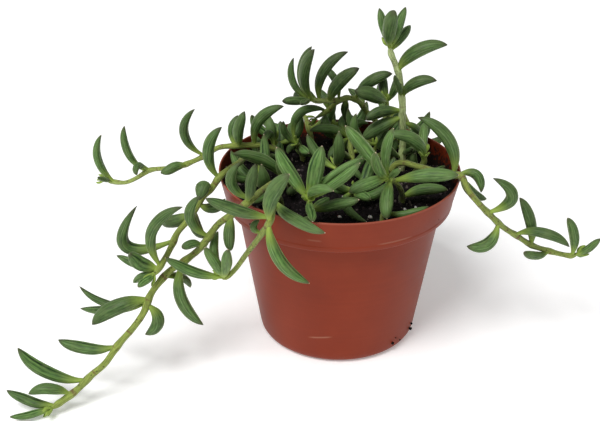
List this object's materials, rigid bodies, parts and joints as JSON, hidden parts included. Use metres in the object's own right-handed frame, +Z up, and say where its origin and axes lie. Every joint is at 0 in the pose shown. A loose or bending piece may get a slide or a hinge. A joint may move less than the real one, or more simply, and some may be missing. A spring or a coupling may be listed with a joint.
{
  "type": "potted string of bananas",
  "caption": "Trailing succulent with fleshy crescent leaves on long thin stems, growing in peat in a tapered nursery pot with a wide collar",
  "frame": {"origin": "on the surface that the pot stands on, under the middle of its flat base", "axes": "+Z up, -Y towards the side that the picture shows, +X to that view's right"},
  "size_m": [0.2498, 0.1633, 0.1493],
  "materials": {
    "pot": "matte moulded terracotta-coloured plastic",
    "soil": "moist dark peat with white perlite grains",
    "leaf": "fleshy green leaf with a thin grey bloom",
    "stem": "pale yellow-green stem with brown scars"
  },
  "bodies": {
    "root": {"pot": "pot", "soil": "soil", "stem_left_high": "leaf", "stem_left_long": "leaf", "stem_left_mid": "leaf", "stem_front_left": "leaf", "stem_right": "leaf", "stem_back_arch": "leaf", "stem_upright": "leaf", "stem_rosette_left": "leaf", "stem_rosette_right": "leaf", "stem_mid_left": "leaf", "stem_mid_right": "leaf", "stem_mid_back": "leaf", "stem_back_right": "leaf", "stem_back_left": "leaf", "sprig_back": "leaf", "sprig_centre_back": "leaf", "sprig_far_left": "leaf", "sprig_left": "leaf", "sprig_front": "leaf", "sprig_right": "leaf", "sprig_centre": "leaf", "sprig_rim": "leaf"}
  },
  "joints": []
}
